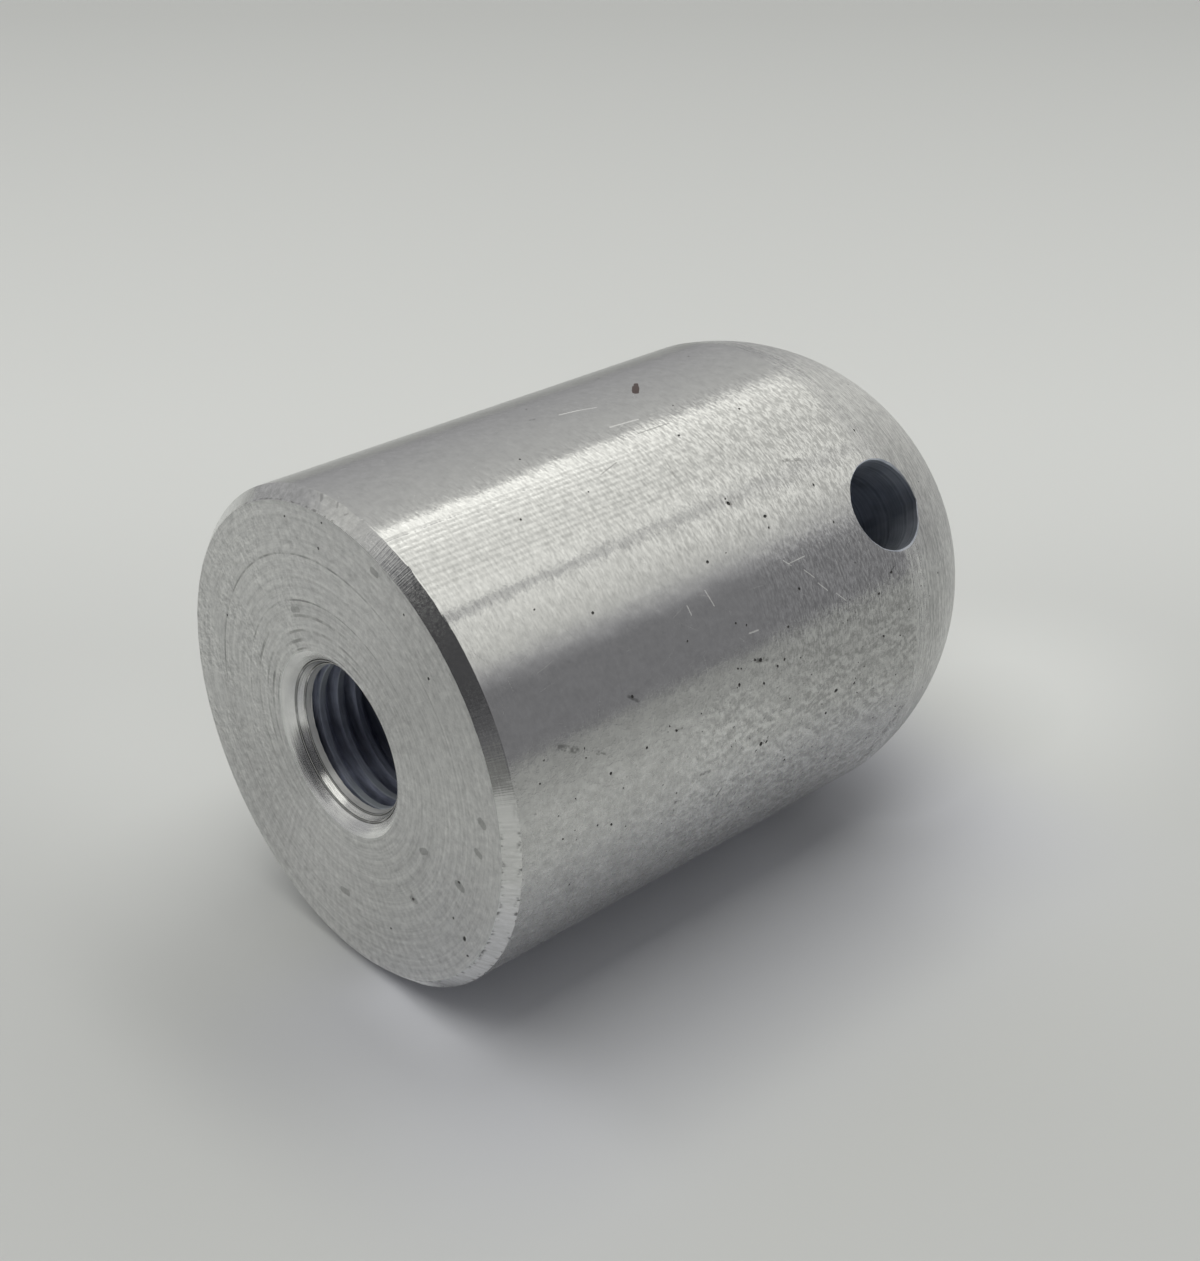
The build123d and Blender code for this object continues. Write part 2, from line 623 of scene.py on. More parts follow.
def loose_scratches(n, p, across, along, cell, length, width):
    """One short scratch in each cell of a Voronoi pattern, at its own angle."""
    grid = n.put("ShaderNodeTexVoronoi", voronoi_dimensions="3D")
    grid.inputs["Scale"].default_value = 1.0 / cell
    n.link(p, grid.inputs["Vector"])
    from_middle = n.vector("SUBTRACT", p, grid.outputs["Position"])
    du = n.vector("DOT_PRODUCT", from_middle, across)
    dv = n.vector("DOT_PRODUCT", from_middle, along)
    pick = n.separate(grid.outputs["Color"])
    angle = n.times(pick[0], 2 * math.pi)
    c, s = n.math("COSINE", angle), n.math("SINE", angle)
    a = n.add(n.times(du, c), n.times(dv, s))
    b = n.minus(n.times(dv, c), n.times(du, s))
    curl = n.times(n.minus(pick[1], 0.5), 0.12)
    bend = n.times(n.times(a, a), curl)
    b = n.add(b, bend)
    reach = n.times(n.ramp(pick[2], 0.0, 1.0, 0.3, 1.0, smooth=False), length)
    near_end, end = n.times(reach, 0.3), n.times(reach, 0.5)
    within = n.ramp(n.math("ABSOLUTE", a), near_end, end, 1.0, 0.0)
    line = n.ramp(n.math("ABSOLUTE", b), width * 0.3, width * 0.6, 1.0, 0.0)
    return n.times(within, line)


def on_side(rows):
    """Rows of (azimuth, height, azimuth, height, width) turned into mm round the side."""
    return [(BODY_R * math.radians(a), z, BODY_R * math.radians(b), y, w) for a, z, b, y, w in rows]


# Azimuth and height of both ends of each scratch on the side, and its width in mm
BRIGHT_SCRATCHES = on_side((
    (-54.1, 33.6, -53.2, 36.0, 0.34), (-53.2, 36.0, -51.8, 38.1, 0.24), (-43.2, 36.2, -42.5, 40.2, 0.34),
    (1.1, 32.7, 4.8, 33.1, 0.20), (13.3, 36.7, 13.5, 38.0, 0.28),
    (3.2, 45.4, 3.1, 48.0, 0.18), (2.1, 44.8, 3.8, 45.6, 0.18), (5.8, 47.2, 8.2, 48.3, 0.18),
    (9.7, 48.6, 12.1, 49.7, 0.18), (13.5, 50.9, 15.9, 52.1, 0.18), (2.5, 29.6, 4.6, 29.7, 0.20),
))
DARK_SCRATCHES = on_side((
    (-38.3, 38.2, -38.0, 42.9, 0.16), (-31.4, 45.8, -25.2, 45.8, 0.12),
    (-31.3, 29.4, -32.8, 32.4, 0.12), (-29.2, 38.1, -23.9, 37.4, 0.10),
    (47.9, 30.3, 46.2, 31.0, 0.26), (14.6, 60.0, 13.6, 61.0, 0.16),
))
SMEARS = on_side((
    (17.8, 8.2, 19.9, 10.2, 1.0), (22.4, 12.8, 23.4, 13.6, 0.7), (14.4, 18.3, 16.2, 19.4, 0.5),
    (52.0, 62.6, 60.5, 61.1, 1.5), (60.5, 61.1, 69.0, 60.6, 2.3), (-18.2, 52.3, -17.0, 54.4, 0.7),
    (39.1, 27.2, 39.4, 28.6, 0.6), (43.0, 23.4, 43.6, 24.4, 0.5), (-56.4, 30.1, -56.0, 30.9, 0.4),
    (19.4, 36.6, 20.2, 38.4, 0.8), (25.6, 23.4, 26.0, 24.6, 0.4),
))
CHIP = on_side(((-55.9, 46.4, -54.3, 45.6, 0.75), (-54.6, 45.7, -52.4, 44.6, 1.15)))
BROWN_SPOT = on_side(((-14.2, 41.4, -13.6, 41.7, 0.62),))
RIM_DENTS = on_side((
    (-56.2, 1.5, -55.2, 1.1, 0.5), (-50.6, 1.5, -50.0, 1.2, 0.35), (-47.0, 1.0, -46.4, 1.2, 0.25),
))
# Radius and width in mm of the deeper rings on the flat face
FACE_RINGS = ((11.5, 0.16), (12.5, 0.26), (13.6, 0.20), (15.3, 0.26), (17.1, 0.14), (22.5, 0.16))
# Place across the flat face of both ends of each smear, and its width, in mm
FACE_SMEARS = (
    (12.4, 18.6, 12.8, 19.1, 1.5), (22.0, 12.9, 22.2, 13.4, 1.4), (8.0, 14.1, 8.8, 14.2, 1.2),
    (22.4, -15.0, 22.8, -14.5, 1.2), (1.6, 18.8, 2.1, 19.2, 1.1), (18.8, 15.7, 19.1, 16.3, 1.1),
    (-13.3, 15.7, -12.4, 16.2, 1.3), (3.2, -15.7, 4.4, -15.4, 1.0),
)


TONE_REACH = 0.25               # tone at which a surface's palest and darkest colours are reached
BLACK = (0.0, 0.0, 0.0, 1)


def new_material(name):
    """A material, its nodes and the object coordinates in it."""
    mat = bpy.data.materials.new(name)
    mat.use_nodes = True
    n = Nodes(mat.node_tree)
    return mat, n, n.put("ShaderNodeTexCoord").outputs["Object"]


def metal_material(name, region):
    """Bare aluminium as the tool left it, in object coordinates. Heights are in mm."""
    mat, n, coord = new_material(name)
    p = n.vector("SCALE", coord, scale=1.0 / MM)
    x, y, z = n.separate(p)
    r = n.vector("LENGTH", n.combine(x, y, 0.0))
    theta = n.math("ARCTAN2", y, x)
    deg = math.radians

    times, minus, add = n.times, n.minus, n.add

    def streaks(profile, around_scale, profile_scale, detail=3.0):
        """Noise drawn out round the axis, as turning leaves it."""
        place = n.combine(times(x, around_scale), times(y, around_scale), times(profile, profile_scale))
        return n.noise(place, 1.0, detail, 0.6)

    def spokes(around_scale, profile, profile_scale, detail=2.0, rough=0.5):
        """Noise by azimuth and one more measure."""
        place = n.combine(times(theta, around_scale), 0.0, times(profile, profile_scale))
        return n.noise(place, 1.0, detail, rough)

    def centred(value):
        return minus(value, 0.5)

    def by_az(low, high, to_low=0.0, to_high=1.0):
        """Ramp between two azimuths."""
        return n.ramp(theta, deg(low), deg(high), to_low, to_high)

    def facing_az(azimuth, low, high, to_low=0.0, to_high=1.0):
        """Grows towards one azimuth, by the cosine of the angle from it."""
        return n.ramp(n.math("COSINE", minus(theta, deg(azimuth))), low, high, to_low, to_high)

    def thin_line(value, at, width, strength=1.0):
        """Soft line where value equals at."""
        return n.ramp(n.math("ABSOLUTE", minus(value, at)), width[0], width[1], strength, 0.0)

    shader = n.put("ShaderNodeBsdfPrincipled")
    n.output(shader.outputs[0])
    # The tool's grooves run round the axis, so a highlight spreads across them
    shader.inputs["Anisotropic"].default_value = 0.75
    shader.inputs["Anisotropic Rotation"].default_value = 0.25
    tangent = n.put("ShaderNodeTangent", direction_type="RADIAL", axis="X" if region == "cross" else "Z")
    n.link(tangent.outputs[0], shader.inputs["Tangent"])

    grain = n.noise(p, 3.0, 3.0, 0.6)
    blotch = n.noise(p, 0.8, 5.0, 0.68)
    bright, dull, dark, brown = None, None, None, None
    metallic = 1.0
    around = n.combine(times(n.math("SINE", theta), -1.0), n.math("COSINE", theta), 0.0)
    lengthwise = (0.0, 0.0, 1.0)
    if region == "side":
        unrolled = n.combine(times(theta, BODY_R), z, 0.0)
        dashes = streaks(z, 0.9, 2.8, 2.5)
        lower = by_az(10, 34)
        band = times(by_az(-46, -38), by_az(-10, 2, 1.0, 0.0))
        flecked = times(by_az(-6, 2), by_az(18, 30, 1.0, 0.0))
        flecked = times(n.ramp(z, 34.0, 48.0), flecked)
        coarse = add(
            0.18,
            times(band, n.ramp(z, 6.0, 46.0, 0.65, 1.3)),
            times(lower, n.ramp(z, 10.0, 34.0, 0.12, 0.45)),
            times(flecked, 1.1),
            times(band, n.ramp(z, 34.0, 54.0, 0.0, 0.45)),
        )
        sparkle = add(times(flecked, 0.9), times(band, n.ramp(z, 28.0, 52.0, 0.1, 1.0)))
        sparkle = times(centred(streaks(z, 1.5, 4.4)), sparkle)
        wide = n.noise(p, 0.42, 5.0, 0.7)
        slow = spokes(5.0, z, 0.05)
        chatter = n.math("SINE", add(times(theta, 257.0), times(slow, 8.0)))
        broken = spokes(40.0, z, 0.9)
        broken = n.ramp(broken, 0.35, 0.6, 0.2, 1.0)
        patch = times(by_az(-37, -34), by_az(-22, -16, 1.0, 0.0))
        patch = times(times(patch, n.ramp(z, 30.0, 50.0, 1.0, 0.12)), broken)
        crust = n.ramp(blotch, 0.45, 0.55, smooth=False)
        # Painted light and shade on the two sides of small bumps in the skin
        lit_from = n.vector("ADD", p, (0.20366, -0.272, 0.119))
        painted_bump_shade = minus(n.noise(p, 0.75, 3.0, 0.62), n.noise(lit_from, 0.75, 3.0, 0.62))
        bumpy = n.ramp(n.noise(p, 0.16, 3.0), 0.40, 0.60, 0.35, 1.0)
        bumpy = times(n.ramp(z, 12.0, 42.0, 0.15, 1.0), bumpy)
        height = add(
            times(times(chatter, patch), 0.010),
            times(streaks(z, 0.08, 3.2), 0.010),
            times(times(dashes, coarse), 0.026), times(sparkle, 0.016),
            times(n.noise(p, 0.22, 2.0), 0.050),
            times(times(crust, lower), 0.016),
        )
        tone = add(
            times(times(centred(dashes), coarse), 0.95), times(sparkle, 1.7),
            times(centred(blotch), add(0.3, times(times(lower, bumpy), 0.5))),
            times(times(times(centred(crust), lower), bumpy), 0.07),
            times(times(n.ramp(wide, 0.40, 0.60, -0.5, 0.5), add(0.25, lower)), 0.10),
            times(times(chatter, patch), 0.13),
            times(times(painted_bump_shade, add(0.12, times(lower, bumpy))), 2.1),
        )
        rough_low, rough_high = 0.12, 0.18
        base_low, base_high = (0.54, 0.54, 0.535, 1), (0.86, 0.86, 0.85, 1)
        bright = marks(n, unrolled, BRIGHT_SCRATCHES)
        dull = times(loose_scratches(n, p, around, lengthwise, 5.0, 3.2, 0.09), 0.22)
        dull = n.most(dull, times(loose_scratches(n, p, around, lengthwise, 2.3, 1.2, 0.08), 0.13))
        frayed = n.ramp(n.noise(p, 1.9, 3.0, 0.65), 0.40, 0.60)
        specks = n.ramp(n.noise(p, 1.3, 4.0, 0.72), 0.62, 0.72)
        specks = times(specks, times(lower, n.ramp(z, 10.0, 34.0, 0.35, 0.85)))
        smears = times(times(marks(n, unrolled, SMEARS), frayed), 0.55)
        dark = n.most(times(marks(n, unrolled, DARK_SCRATCHES), 0.7), smears, specks)
        chip = add(marks(n, unrolled, CHIP), times(n.noise(p, 1.9, 3.0, 0.7), 0.9))
        brown = n.most(n.ramp(chip, 0.72, 0.84), times(marks(n, unrolled, BROWN_SPOT), 0.5))
    elif region == "dome":
        arc = times(n.math("ARCSINE", times(minus(z, DOME_CENTRE), 1.0 / DOME_R)), DOME_R)
        lines = streaks(arc, 0.10, 4.5)
        dashes = streaks(arc, 1.0, 3.2)
        height = add(times(lines, 0.060), times(dashes, 0.090), times(n.noise(p, 0.25, 2.0), 0.08))
        tone = add(
            times(centred(lines), 1.1), times(centred(dashes), 1.3), times(centred(blotch), 0.6),
            # Painted shade: the dome darker past azimuth 40°
            by_az(40, 60, 0.0, -0.22),
        )
        rough_low, rough_high = 0.34, 0.46
        base_low, base_high = (0.53, 0.53, 0.53, 1), (0.85, 0.85, 0.84, 1)
        dull = times(loose_scratches(n, p, around, lengthwise, 4.0, 3.0, 0.07), 0.45)
    elif region == "face":
        rings = streaks(r, 0.02, 2.6)
        ring_lines = n.most(*[thin_line(r, radius, (width * 0.4, width)) for radius, width in FACE_RINGS])
        ring_lines = times(ring_lines, n.ramp(n.noise(p, 0.16, 5.0, 0.7), 0.40, 0.62))
        ring_lines = times(ring_lines, facing_az(-95, -0.2, 0.9, 0.25, 1.0))
        sector = facing_az(125, 0.1, 0.8)
        ripple = n.math("SINE", add(times(theta, 118.0), times(r, 0.9), times(n.noise(p, 0.25, 2.0), 9.0)))
        ripple = times(times(ripple, sector), n.ramp(r, 13.0, 18.0, 0.2, 1.0))
        scuffs = streaks(r, 0.9, 2.0)
        upper = facing_az(-125, 0.3, 0.95)
        # Painted light and shade on the two sides of small bumps on the face
        lit_from = n.vector("ADD", p, (0.28, -0.10, 0.0))
        painted_bump_shade = minus(n.noise(p, 1.0, 3.0, 0.62), n.noise(lit_from, 1.0, 3.0, 0.62))
        painted_bump_shade = times(painted_bump_shade, n.ramp(n.noise(p, 0.14, 3.0), 0.42, 0.58, 0.2, 1.0))
        # Patches where the tool chattered, broken into short strokes
        strokes = spokes(30.0, r, 0.9, 4.0, 0.65)
        worn = times(centred(strokes), n.ramp(n.noise(p, 0.11, 3.0), 0.44, 0.60, 0.15, 1.0))
        height = add(
            times(rings, 0.06), times(streaks(r, 0.05, 5.0), 0.025), times(ripple, 0.014),
            times(worn, 0.06), times(scuffs, 0.07), times(ring_lines, -0.04),
        )
        tone = add(
            times(centred(rings), 0.42), times(centred(blotch), 0.5),
            times(centred(scuffs), 0.40), times(ripple, 0.028),
            times(worn, add(0.45, times(upper, 0.6))),
            times(times(painted_bump_shade, add(0.35, upper)), 0.8),
            # Painted shade towards azimuth −100° and painted light on the opposite side
            times(n.math("COSINE", minus(theta, deg(-100))), -0.02),
        )
        rough_low, rough_high = 0.42, 0.56
        base_low, base_high = (0.50, 0.50, 0.50, 1), (0.88, 0.88, 0.87, 1)
        smudge = add(marks(n, n.combine(x, y, 0.0), FACE_SMEARS), times(n.noise(p, 1.9, 3.0, 0.7), 0.9))
        smudge = n.ramp(smudge, 0.74, 1.05)
        dark = n.most(times(ring_lines, 0.50), times(smudge, 0.34))
        dull = times(loose_scratches(n, p, (1.0, 0.0, 0.0), (0.0, 1.0, 0.0), 5.0, 3.5, 0.08), 0.4)
    elif region == "bevel":
        ticks = n.noise(n.combine(times(theta, 110.0), 0.0, 0.0), 1.0, 1.0)
        patch = times(by_az(-46, -38), by_az(-26, -16, 1.0, 0.25))
        patch = add(times(patch, 0.95), 0.05)
        rim = n.ramp(n.math("ABSOLUTE", minus(r, BODY_R - 0.5 * BEVEL)), 0.30, 0.68)
        nicks = spokes(34.0, r, 1.2, 3.0, 0.6)
        nicks = n.ramp(nicks, 0.50, 0.62)
        dark = times(times(nicks, rim), times(by_az(18, 38), 0.75))
        inner = thin_line(r, BODY_R - BEVEL + 0.06, (0.05, 0.20))
        inner = times(times(inner, nicks), by_az(-30, -50, 0.0, 0.5))
        dents = marks(n, n.combine(times(theta, BODY_R), z, 0.0), RIM_DENTS)
        dark = n.most(dark, inner, times(dents, 0.3))
        height = add(
            times(times(ticks, patch), 0.035), times(streaks(r, 0.05, 7.0), 0.02),
            times(n.noise(p, 0.3, 2.0), 0.06),
        )
        striae = spokes(60.0, r, 0.5, 3.0, 0.6)
        tone = add(
            times(times(centred(ticks), patch), 0.38), times(centred(grain), 0.22), -0.114,
            times(times(centred(striae), by_az(20, 40)), 0.9),
            # Painted light from azimuth 40° and strongly from 92°, with painted shade from 78°
            by_az(40, 60, 0.0, 0.08), by_az(78, 90, 0.0, -0.10),
            by_az(92, 104, 0.0, 0.40),
            times(times(centred(n.noise(p, 1.2, 3.0, 0.65)), by_az(-36, -46)), 0.9),
        )
        rough_low, rough_high = 0.14, 0.24
        base_low, base_high = (0.62, 0.62, 0.615, 1), (0.95, 0.95, 0.94, 1)
    elif region == "sink":
        height = times(streaks(z, 0.15, 4.0), 0.05)
        # The two steps of the countersink
        dark = n.most(thin_line(z, 1.17, (0.06, 0.12), 0.7), thin_line(z, 1.95, (0.055, 0.11), 0.7))
        dark = times(dark, n.ramp(n.noise(p, 0.4, 3.0), 0.30, 0.50, 0.3, 1.0))
        tone = add(times(centred(streaks(z, 0.15, 4.0)), 0.6), times(centred(blotch), 0.4))
        rough_low, rough_high = 0.25, 0.27
        base_low, base_high = (0.66, 0.66, 0.66, 1), (0.95, 0.95, 0.94, 1)
        metallic = n.ramp(z, 1.98, 2.10, 1.0, 0.35)
    else:
        # Walls in the holes, dulled, with bluish colours painted as their shade
        lines = streaks(x, 0.0, 2.2) if region == "cross" else streaks(z, 0.2, 4.0)
        height = times(lines, 0.06)
        tone = add(times(centred(lines), 1.5), times(centred(n.noise(p, 0.4, 2.0)), 0.8))
        rough_low, rough_high = (0.38, 0.46) if region == "cross" else (0.42, 0.52)
        metallic = 0.9
        if region == "cross":
            base_low, base_high = (0.45, 0.49, 0.57, 1), (0.84, 0.88, 0.97, 1)
        else:
            # Painted shade: the bore's colours are dark and bluish, and its crests are less metallic than
            # its grooves
            base_low, base_high = (0.22, 0.24, 0.31, 1), (0.42, 0.45, 0.57, 1)
            metallic = n.ramp(r, DRILL_R + 0.04, DRILL_R + 0.16, 0.45, 0.85)

    rough = n.ramp(grain, 0.3, 0.7, rough_low, rough_high)
    if region == "side":
        rough = add(rough, times(lower, 0.11))
        # Painted shade: the grazing reflection is dimmed beyond azimuth −62°
        tint = n.mix(by_az(-62, -74), (1, 1, 1, 1), (0.72, 0.72, 0.72, 1))
        n.link(tint, shader.inputs["Specular Tint"])
    if region == "bevel":
        rough = add(rough, by_az(90, 104, 0.0, 0.42))
    if region == "dome":
        rough = n.blend(n.ramp(z, BODY_LENGTH, BODY_LENGTH + 5.0, 1.0, 0.0), rough, 0.16)
    colour = n.mix(n.ramp(tone, -TONE_REACH, TONE_REACH, smooth=False), base_low, base_high)
    if region == "cross":
        # Painted shade, darker towards the bottom of the hole and the tip
        painted_hole_shade = n.ramp(add(times(y, 0.7), times(z, 0.7), -0.7 * CROSS_Z), 0.5, 5.0)
        colour = n.mix(times(painted_hole_shade, 0.38), colour, BLACK)
    if region == "bore":
        # Painted light on the crests near the mouth, little of it towards azimuth 185°
        painted_crest_light = times(n.ramp(r, DRILL_R + 0.04, DRILL_R + 0.16, 1.0, 0.0), n.ramp(z, 5.0, 10.5, 0.9, 0.15))
        painted_crest_light = times(painted_crest_light, facing_az(185, 0.55, 0.95, 1.0, 0.12))
        colour = n.mix(painted_crest_light, colour, (0.50, 0.54, 0.58, 1))
        # Painted shade, darker deeper in the bore
        colour = n.mix(n.ramp(z, 3.0, 12.0, 0.0, 0.5), colour, (0.16, 0.18, 0.26, 1))
    if region in ("side", "dome"):
        # Painted shade low on the side, towards the dome's foot
        painted_low_side_shade = by_az(16, 28)
        if region == "side":
            painted_low_side_shade = times(painted_low_side_shade, by_az(52, 76, 1.0, 0.0))
            depth = n.ramp(z, 24.0, 54.0, 0.10, 0.30)
        else:
            depth = n.ramp(z, BODY_LENGTH, BODY_LENGTH + 10.0, 0.24, 0.08)
            depth = add(depth, by_az(54, 66, 0.0, 0.16))
        colour = n.mix(times(painted_low_side_shade, depth), colour, BLACK)
    if bright is not None:
        bright = times(bright, 0.7)
        colour = n.mix(bright, colour, (0.90, 0.90, 0.89, 1))
        metallic = minus(1.0, times(bright, 0.9))
    if dull is not None:
        rough = n.blend(dull, rough, 0.62)
        colour = n.mix(dull, colour, (0.86, 0.86, 0.855, 1))
        height = add(height, times(dull, -0.010))
    if dark is not None:
        colour = n.mix(dark, colour, (0.07, 0.07, 0.068, 1))
    if brown is not None:
        colour = n.mix(brown, colour, (0.055, 0.028, 0.022, 1))
        metallic = times(metallic, minus(1.0, brown))
    n.link(metallic, shader.inputs["Metallic"])
    n.link(rough, shader.inputs["Roughness"])
    n.link(colour, shader.inputs["Base Color"])
    bump_node = n.put("ShaderNodeBump")
    bump_node.inputs["Strength"].default_value = 1.0
    bump_node.inputs["Distance"].default_value = MM
    n.link(height, bump_node.inputs["Height"])
    n.link(bump_node.outputs[0], shader.inputs["Normal"])
    return mat


def pit_material():
    """Dark colour at the bottom of the pores."""
    mat, n, coord = new_material("pores")
    shader = n.put("ShaderNodeBsdfPrincipled")
    shader.inputs["Metallic"].default_value = 0.3
    shader.inputs["Roughness"].default_value = 0.6
    specks = n.ramp(n.noise(n.vector("SCALE", coord, scale=1.0 / MM), 6.0, 2.0), 0.3, 0.7)
    colour = n.mix(specks, (0.06, 0.06, 0.062, 1), (0.22, 0.215, 0.21, 1))
    n.link(colour, shader.inputs["Base Color"])
    n.output(shader.outputs[0])
    return mat


for name, region in (
    ("faced_end", "face"), ("bevel", "bevel"), ("turned_side", "side"), ("domed_end", "dome"),
    ("threaded_bore", "bore"), ("countersink", "sink"), ("cross_hole", "cross"),
):
    metal.data.materials.append(metal_material(name, region))
metal.data.materials.append(pit_material())

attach(metal, "root")
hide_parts("body")

# ------------------------------------------------- the table the part lies on
# The part stands on its threaded end in this frame, and in the photograph it
# lies on its side, so the table is a plane that touches the side.
UP = Vector((0.59940305, -0.80044737, 0.0))
SIDEWAYS = Vector((0.80044737, 0.59940305, 0.0))
AXIS = Vector((0.0, 0.0, 1.0))

MIDDLE = AXIS * 0.5 * OVERALL   # the part's middle, in mm
TABLE_REACH = 3000.0            # mm from the part to the table's edges
corners = [
    MIDDLE - UP * BODY_R + (SIDEWAYS * a + AXIS * b) * TABLE_REACH
    for a, b in ((-1, -1), (1, -1), (1, 1), (-1, 1))
]
table = new_mesh_object("table_top", corners, [(0, 1, 2, 3)])
if table.data.polygons[0].normal.dot(UP) < 0:
    table.data.flip_normals()

mat, n, coord = new_material("table_paint")
# Painted light and shade: paler in the middle distance, a little greyer close by and far off, and darker
# far out on the camera's side
beside = n.vector("DOT_PRODUCT", coord, tuple(SIDEWAYS))
lengthways = n.vector("DOT_PRODUCT", coord, tuple(AXIS))
away = n.add(n.times(beside, -0.7415), n.times(lengthways, 0.671))
tone = n.ramp(away, -0.005, 0.17, 0.79, 0.97)
tone = n.times(tone, n.ramp(away, 0.12, 0.52, 1.025, 0.79, smooth=False))
tone = n.times(tone, n.ramp(beside, 0.105, 0.17, 1.0, 0.72))


def table_patch(a, b):
    """1 inside a soft-edged rectangle, a across the part's axis and b along it.

    Each is (rise from, rise to, fall from, fall to) in metres.
    """
    masks = [
        n.times(n.ramp(place, c[0], c[1]), n.ramp(place, c[2], c[3], 1.0, 0.0))
        for place, c in ((beside, a), (lengthways, b))
    ]
    return n.times(*masks)


# Paler and darker stretches of painted light and painted shade. The last, a painted shade, lies outside
# the picture, and only the metal shows it
for a, b, gain in (
    ((0.000, 0.010, 0.016, 0.028), (-0.008, 0.002, 0.045, 0.062), 0.30),
    ((0.026, 0.034, 0.040, 0.056), (0.000, 0.010, 0.050, 0.065), -0.06),
    ((0.050, 0.090, 2.900, 2.950), (-2.950, -2.900, -0.150, -0.090), -0.50),
):
    tone = n.times(tone, n.add(1.0, n.times(table_patch(a, b), gain)))
# Soft round patches of painted light and painted shade: place across and along, reach across and along,
# gain
for across, along, reach_a, reach_b, gain in (
    (0.016, 0.097, 0.037, 0.048, 0.21), (0.018, 0.073, 0.014, 0.016, 0.20),
    (0.045, 0.075, 0.045, 0.050, 0.07), (0.002, -0.020, 0.040, 0.014, -0.08),
    (-0.050, 0.002, 0.050, 0.030, 0.07),
):
    off = n.vector("LENGTH", n.combine(
        n.math("DIVIDE", n.minus(beside, across), reach_a),
        n.math("DIVIDE", n.minus(lengthways, along), reach_b), 0.0))
    tone = n.times(tone, n.ramp(off, 0.0, 1.0, 1.0 + gain, 1.0))
# Bluer in the part's shadow
shade = table_patch((-0.010, 0.010, 0.030, 0.065), (-0.035, 0.0, 0.075, 0.100))
paint_colour = n.mix(shade, (0.80, 0.81, 0.81, 1), (0.80, 0.81, 0.86, 1))
paint = n.put("ShaderNodeBsdfDiffuse")
n.link(n.mix(tone, BLACK, paint_colour), paint.inputs[0])
# Seen from below, the table is clear
clear = n.put("ShaderNodeBsdfTransparent")
facing = n.put("ShaderNodeNewGeometry").outputs["Backfacing"]
# Right under the part, on its far side, a painted reflection: the metal shows a glowing pale surface and
# not its own shadow
under = table_patch((-0.070, -0.045, -0.004, 0.016), (0.001, 0.005, 0.095, 0.110))
painted_reflection = n.put("ShaderNodeEmission")
painted_reflection.inputs[0].default_value = (0.30, 0.305, 0.30, 1)
in_metal = n.times(under, n.put("ShaderNodeLightPath").outputs["Is Glossy Ray"])
top = n.mix_shader(in_metal, paint.outputs[0], painted_reflection.outputs[0])
n.output(n.mix_shader(facing, top, clear.outputs[0]))
mat.cycles.emission_sampling = "NONE"
table.data.materials.append(mat)

# ----------------------------------------------------------------------- light
# A soft box overhead, a pale wall behind the part and a darker room on the
# camera's side, by direction about the part's axis.
world = bpy.data.worlds.new("studio")
bpy.context.scene.world = world
world.use_nodes = True
n = Nodes(world.node_tree)
direction = n.put("ShaderNodeTexCoord").outputs["Generated"]
up = n.vector("DOT_PRODUCT", direction, tuple(UP))
sideways = n.vector("DOT_PRODUCT", direction, tuple(SIDEWAYS))
along = n.vector("DOT_PRODUCT", direction, tuple(AXIS))
turn = n.math("ARCTAN2", sideways, up)      # 0 overhead, positive towards the camera's side
deg = math.radians


def by_turn(low, high, to_low=0.0, to_high=1.0, smooth=True):
    """Ramp between two angles of turn."""
    return n.ramp(turn, deg(low), deg(high), to_low, to_high, smooth)


wall = by_turn(-90, -30, 0.34, 0.57, smooth=False)
peak = n.ramp(along, 0.53, 0.68, 1.55, 1.20)
box = by_turn(-27, -19, peak, 0.98, smooth=False)
box = n.minus(box, by_turn(-12, 0, 0.0, 0.16, smooth=False))
box = n.add(box, by_turn(0, 16, 0.0, 0.12))
box = n.minus(box, by_turn(26, 44, 0.0, 0.24, smooth=False))
# Narrow gap between two panels of the box
gap_at = n.ramp(along, 0.54, 0.62, deg(23), deg(20.8))
gap = n.math("ABSOLUTE", n.minus(turn, gap_at))
gap_light = n.ramp(along, 0.535, 0.585, 0.42, 0.56)
box = n.times(box, n.ramp(gap, deg(0.9), deg(2.8), gap_light, 1.0))
edge = n.add(turn, n.ramp(along, 0.50, 0.70, deg(-1.2), deg(3.8), smooth=False))
in_box = n.ramp(edge, deg(-29.5), deg(-28))
out_box = n.ramp(n.minus(turn, n.ramp(along, 0.58, 0.65, 0.0, deg(2.2))), deg(41), deg(60))
box = n.times(box, n.ramp(along, 0.36, 0.56, 0.86, 1.0))
box = n.times(box, n.ramp(along, 0.56, 0.86, 1.02, 0.60, smooth=False))
light = n.blend(in_box, wall, box)
light = n.blend(out_box, light, 0.215)
end_wall = n.ramp(n.math("ABSOLUTE", turn), deg(60), deg(100), 0.62, 0.46)
light = n.blend(n.ramp(along, 0.74, 0.90), light, end_wall)
# Towards the threaded end the room is dark on the camera's side
near_light = by_turn(-42, -10, 0.60, 0.07, smooth=False)
near_light = n.minus(near_light, by_turn(-66, -52, 0.20, 0.0))
near_light = n.add(near_light, by_turn(60, 90, 0.0, 0.07))
overhead = n.times(by_turn(-29, -27), by_turn(20, 23, 1.0, 0.0))
overhead = n.times(overhead, n.ramp(along, -0.60, -0.56))
near_light = n.blend(overhead, near_light, 1.12)
light = n.blend(n.ramp(along, 0.44, 0.34), light, near_light)
tint = n.mix(n.ramp(light, 0.15, 0.75), (0.99, 0.99, 1.03, 1), (1.0, 1.0, 0.95, 1))
light = n.vector("SCALE", tint, scale=light)
background = n.put("ShaderNodeBackground")
n.link(light, background.inputs[0])
backdrop = n.put("ShaderNodeBackground")
backdrop.inputs[0].default_value = (0.60, 0.605, 0.595, 1)
seen = n.put("ShaderNodeLightPath").outputs["Is Camera Ray"]
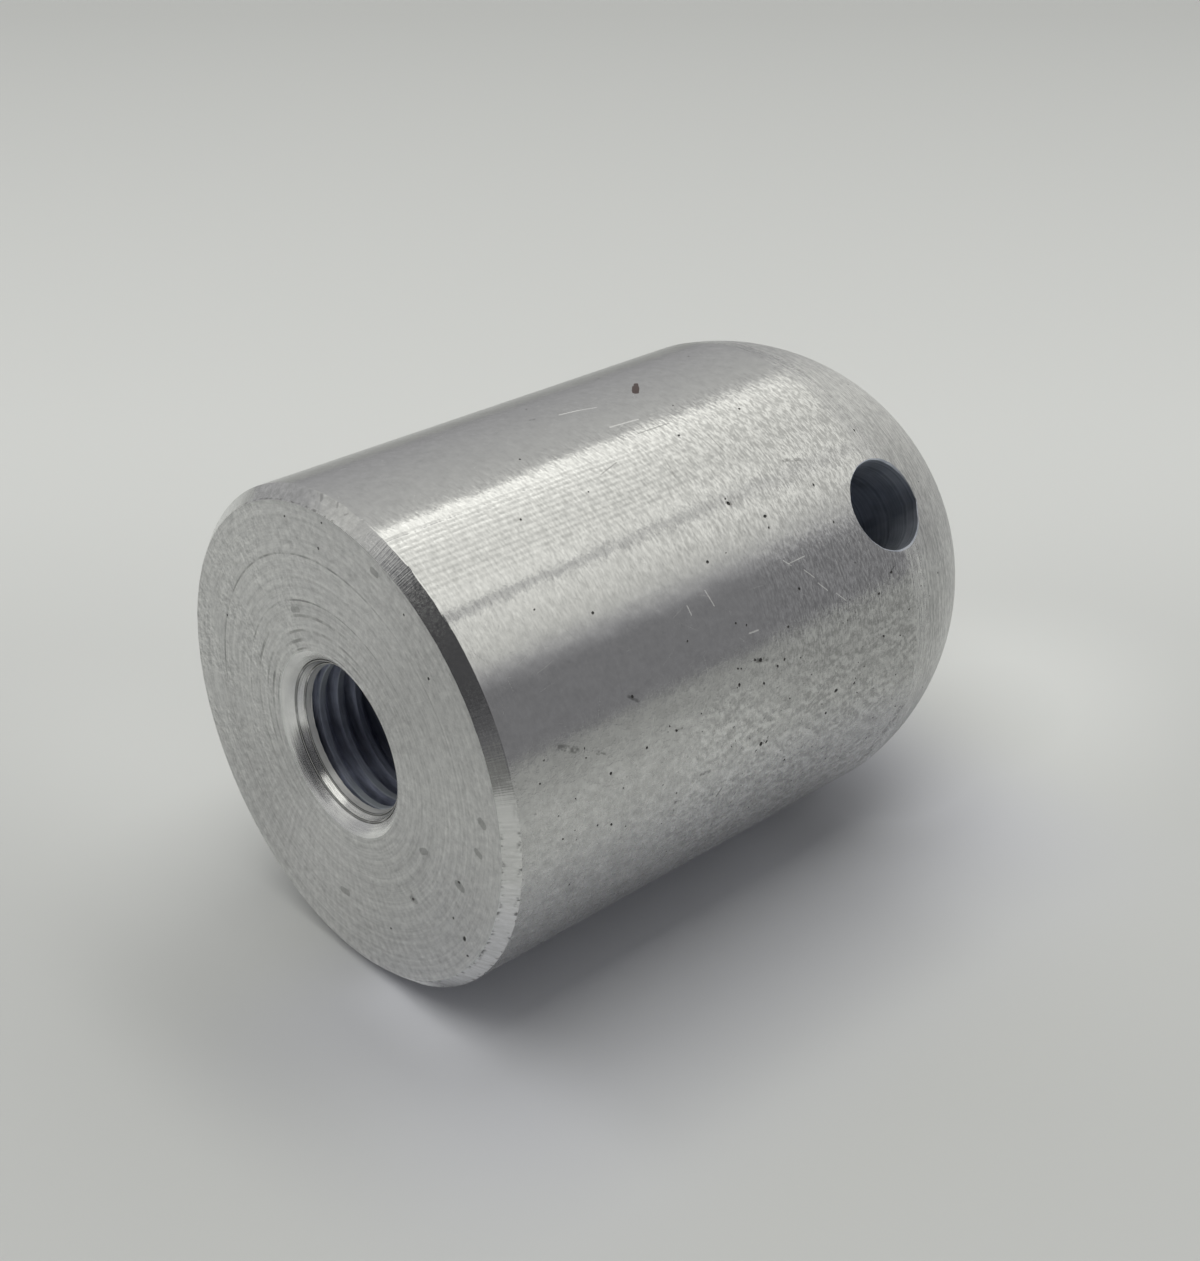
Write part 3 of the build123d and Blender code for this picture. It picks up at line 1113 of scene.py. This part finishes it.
n.output(n.mix_shader(seen, background.outputs[0], backdrop.outputs[0]), "ShaderNodeOutputWorld")


def placed(at, x, y, z):
    """The matrix that puts an object at a point, with its axes along x, y and z."""
    return Matrix.Translation(at) @ Matrix((x, y, z)).transposed().to_4x4()


# The main lamp, a soft box above and behind the part
LAMP_RADIANCE = 0.94
LAMP_DISTANCE = 1.5
lamp_turn, lamp_along = deg(-3.25), deg(-3.5)
lamp_dir = (
    UP * math.cos(lamp_turn) * math.cos(lamp_along)
    + SIDEWAYS * math.sin(lamp_turn) * math.cos(lamp_along)
    + AXIS * math.sin(lamp_along)
)
lamp_data = bpy.data.lights.new("soft_box", "AREA")
lamp_data.shape = "RECTANGLE"
lamp_data.size = 1.77               # along the part's axis
lamp_data.size_y = 1.41
lamp_data.color = (1.0, 1.0, 0.955)
lamp_data.energy = LAMP_RADIANCE * math.pi * lamp_data.size * lamp_data.size_y
lamp = new_object("soft_box", lamp_data)
lamp_x = (AXIS - lamp_dir * AXIS.dot(lamp_dir)).normalized()
lamp_at = lamp_dir * LAMP_DISTANCE + MIDDLE * MM
lamp.matrix_world = placed(lamp_at, lamp_x, lamp_dir.cross(lamp_x), lamp_dir)
lamp.visible_camera = False
lamp.visible_glossy = False         # the metal shows the soft box drawn in the world instead

# ---------------------------------------------------------------------- camera
cam_data = bpy.data.cameras.new("photo_camera")
cam = new_object("photo_camera", cam_data)
# Place in mm and directions, fitted to the part's outline and rims in the photograph
CAMERA_AT = Vector((195.0502, -1.1266, -101.2099))
RIGHT = Vector((0.53689982, 0.40204941, 0.7416838))
DOWN = Vector((-0.23111141, 0.91560296, -0.32902694))
FORWARD = Vector((-0.81137297, 0.00524292, 0.58450527))
cam.matrix_world = placed(CAMERA_AT * MM, RIGHT, -DOWN, -FORWARD)
cam_data.sensor_width = 36.0
cam_data.lens = 55.804
cam_data.clip_start = 0.005
cam_data.clip_end = 20.0
bpy.context.scene.camera = cam

bpy.context.scene.view_settings.view_transform = "Standard"
